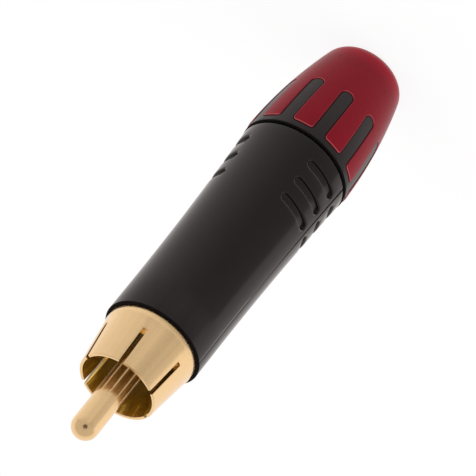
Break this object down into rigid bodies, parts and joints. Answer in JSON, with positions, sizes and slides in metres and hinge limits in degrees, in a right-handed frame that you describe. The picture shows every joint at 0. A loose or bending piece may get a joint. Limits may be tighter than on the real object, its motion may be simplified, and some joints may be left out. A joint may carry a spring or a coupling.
{
  "type": "rca plug",
  "caption": "Solder-type phono plug: round pin and split ground ring in a black flared shell, with a screw cap that grips the cable and wears a red soft grip.",
  "frame": {"origin": "centre of the cable hole in the plane of the cap's rear face, on which the plug stands", "axes": "+Z along the plug's axis towards the tip of the pin; -Y is the middle of the shell's broad plain face; the parting lines of the shell lie at +X and -X"},
  "size_m": [0.0138, 0.0138, 0.062],
  "materials": {
    "gold_plate": "polished gold plate on turned brass",
    "insulator_black": "turned black insulating plastic",
    "shell_black": "satin black coat on die-cast metal",
    "sleeve_natural": "natural extruded tube",
    "chuck_black": "moulded black plastic",
    "core_black": "fine-grained moulded black plastic",
    "grip_red": "matt dark red soft moulding"
  },
  "bodies": {
    "rear_cap": {"cap_core": "core_black", "grip_boot": "grip_red"},
    "chuck_body": {"chuck": "chuck_black"},
    "shell_body": {"shell": "shell_black"},
    "sleeve_body": {"insulating_sleeve": "sleeve_natural"},
    "contact": {"center_pin": "gold_plate", "insulator": "insulator_black", "ground_contact": "gold_plate"}
  },
  "joints": [
    {"name": "cap_turn", "type": "hinge", "parent": "rear_cap", "child": "chuck_body", "pos_m": [0, 0, 0.0112], "axis": [0, 0, 1], "range_deg": [0, 1440]},
    {"name": "chuck_slide", "type": "slide", "parent": "chuck_body", "child": "shell_body", "axis": [0, 0, 1], "range_m": [0, 0.004]},
    {"name": "sleeve_slide", "type": "slide", "parent": "shell_body", "child": "sleeve_body", "axis": [0, 0, 1], "range_m": [0, 0.004]},
    {"name": "contact_turn", "type": "hinge", "parent": "sleeve_body", "child": "contact", "pos_m": [0, 0, 0.0412], "axis": [0, 0, 1], "range_deg": [0, 1440]}
  ],
  "couplings": [
    {"joint": "cap_turn", "follows": "chuck_slide", "rad_per_m": 6283.2},
    {"joint": "contact_turn", "follows": "sleeve_slide", "rad_per_m": 6283.2}
  ]
}
